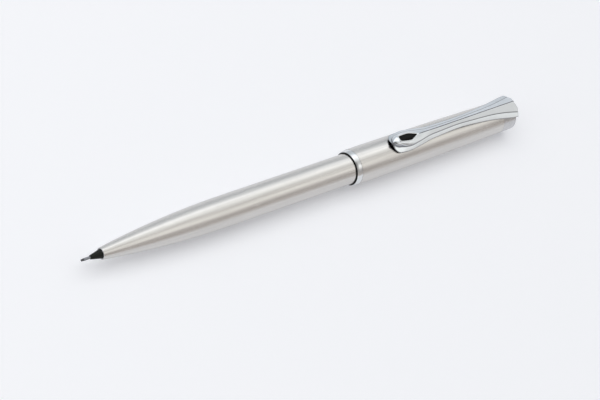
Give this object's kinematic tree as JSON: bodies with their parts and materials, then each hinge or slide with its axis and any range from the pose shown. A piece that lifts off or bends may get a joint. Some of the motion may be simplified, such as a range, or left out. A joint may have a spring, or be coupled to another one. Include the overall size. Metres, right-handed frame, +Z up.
{
  "type": "mechanical pencil",
  "caption": "Slim metal mechanical pencil: brushed steel barrels, black tip cone, chrome ring and faceted clip; pressing the upper barrel feeds the lead.",
  "frame": {"origin": "middle of the pencil's length, on its symmetry plane, at the height the upper barrel's crown rests on", "axes": "+X from the lead tip to the finial along the barrel's axis, +Z up through the clip, +Y to the right seen from the finial; the axis runs at z = 4.78 mm"},
  "size_m": [0.137, 0.0096, 0.0114],
  "materials": {
    "brushed_steel": "brushed lengthwise, satin",
    "chrome": "polished",
    "black_plastic": "satin moulded",
    "black_gloss": "gloss",
    "grey_plastic": "moulded",
    "sleeve_steel": "drawn tube",
    "spring_steel": "drawn wire",
    "ferrule_metal": "drawn",
    "brass": "turned",
    "rubber": "moulded",
    "eraser": "soft, matt",
    "lead": "graphite and binder"
  },
  "bodies": {
    "barrel": {"lower_barrel": "brushed_steel", "nose_cone": "black_plastic", "lead_sleeve": "sleeve_steel", "lead_retainer": "rubber", "retainer_bush": "grey_plastic", "clutch_housing": "grey_plastic", "barrel_insert": "brass"},
    "clutch": {"clutch_ring": "brass"},
    "lead_stick": {"lead": "lead"},
    "feed_unit": {"chuck": "brass", "connector": "brass", "lead_tube": "grey_plastic", "spare_leads": "lead", "return_spring": "spring_steel"},
    "rubber": {"eraser": "eraser", "eraser_ferrule": "ferrule_metal"},
    "cap": {"upper_barrel": "brushed_steel", "slide_bush": "black_plastic", "center_ring": "chrome", "cap_sleeve": "grey_plastic", "end_insert": "brass", "end_collar": "chrome", "end_disc": "chrome"},
    "clip_arm": {"clip": "chrome", "clip_inlay": "black_gloss"}
  },
  "joints": [
    {"name": "push", "type": "slide", "parent": "barrel", "child": "feed_unit", "axis": [-1, 0, 0], "range_m": [0, 0.003], "stiffness_N_per_m": 600, "springref_m": -0.004, "deforming": ["return_spring"]},
    {"name": "clutch_slip", "type": "slide", "parent": "barrel", "child": "clutch", "axis": [-1, 0, 0], "range_m": [0, 0.00075]},
    {"name": "lead_feed", "type": "slide", "parent": "barrel", "child": "lead_stick", "axis": [-1, 0, 0], "range_m": [0, 0.006]},
    {"name": "cap_pull", "type": "slide", "parent": "feed_unit", "child": "cap", "axis": [1, 0, 0], "range_m": [0, 0.06]},
    {"name": "eraser_pull", "type": "slide", "parent": "feed_unit", "child": "rubber", "axis": [1, 0, 0], "range_m": [0, 0.007]},
    {"name": "clip_flex", "type": "hinge", "parent": "cap", "child": "clip_arm", "pos_m": [0.0657, 0, 0.00897], "axis": [0, 1, 0], "range_deg": [0, 2.5], "stiffness_Nm_per_rad": 3, "springref_deg": -0.57}
  ],
  "couplings": [
    {"joint": "clutch_slip", "follows": "push", "ratio": 0.25}
  ]
}
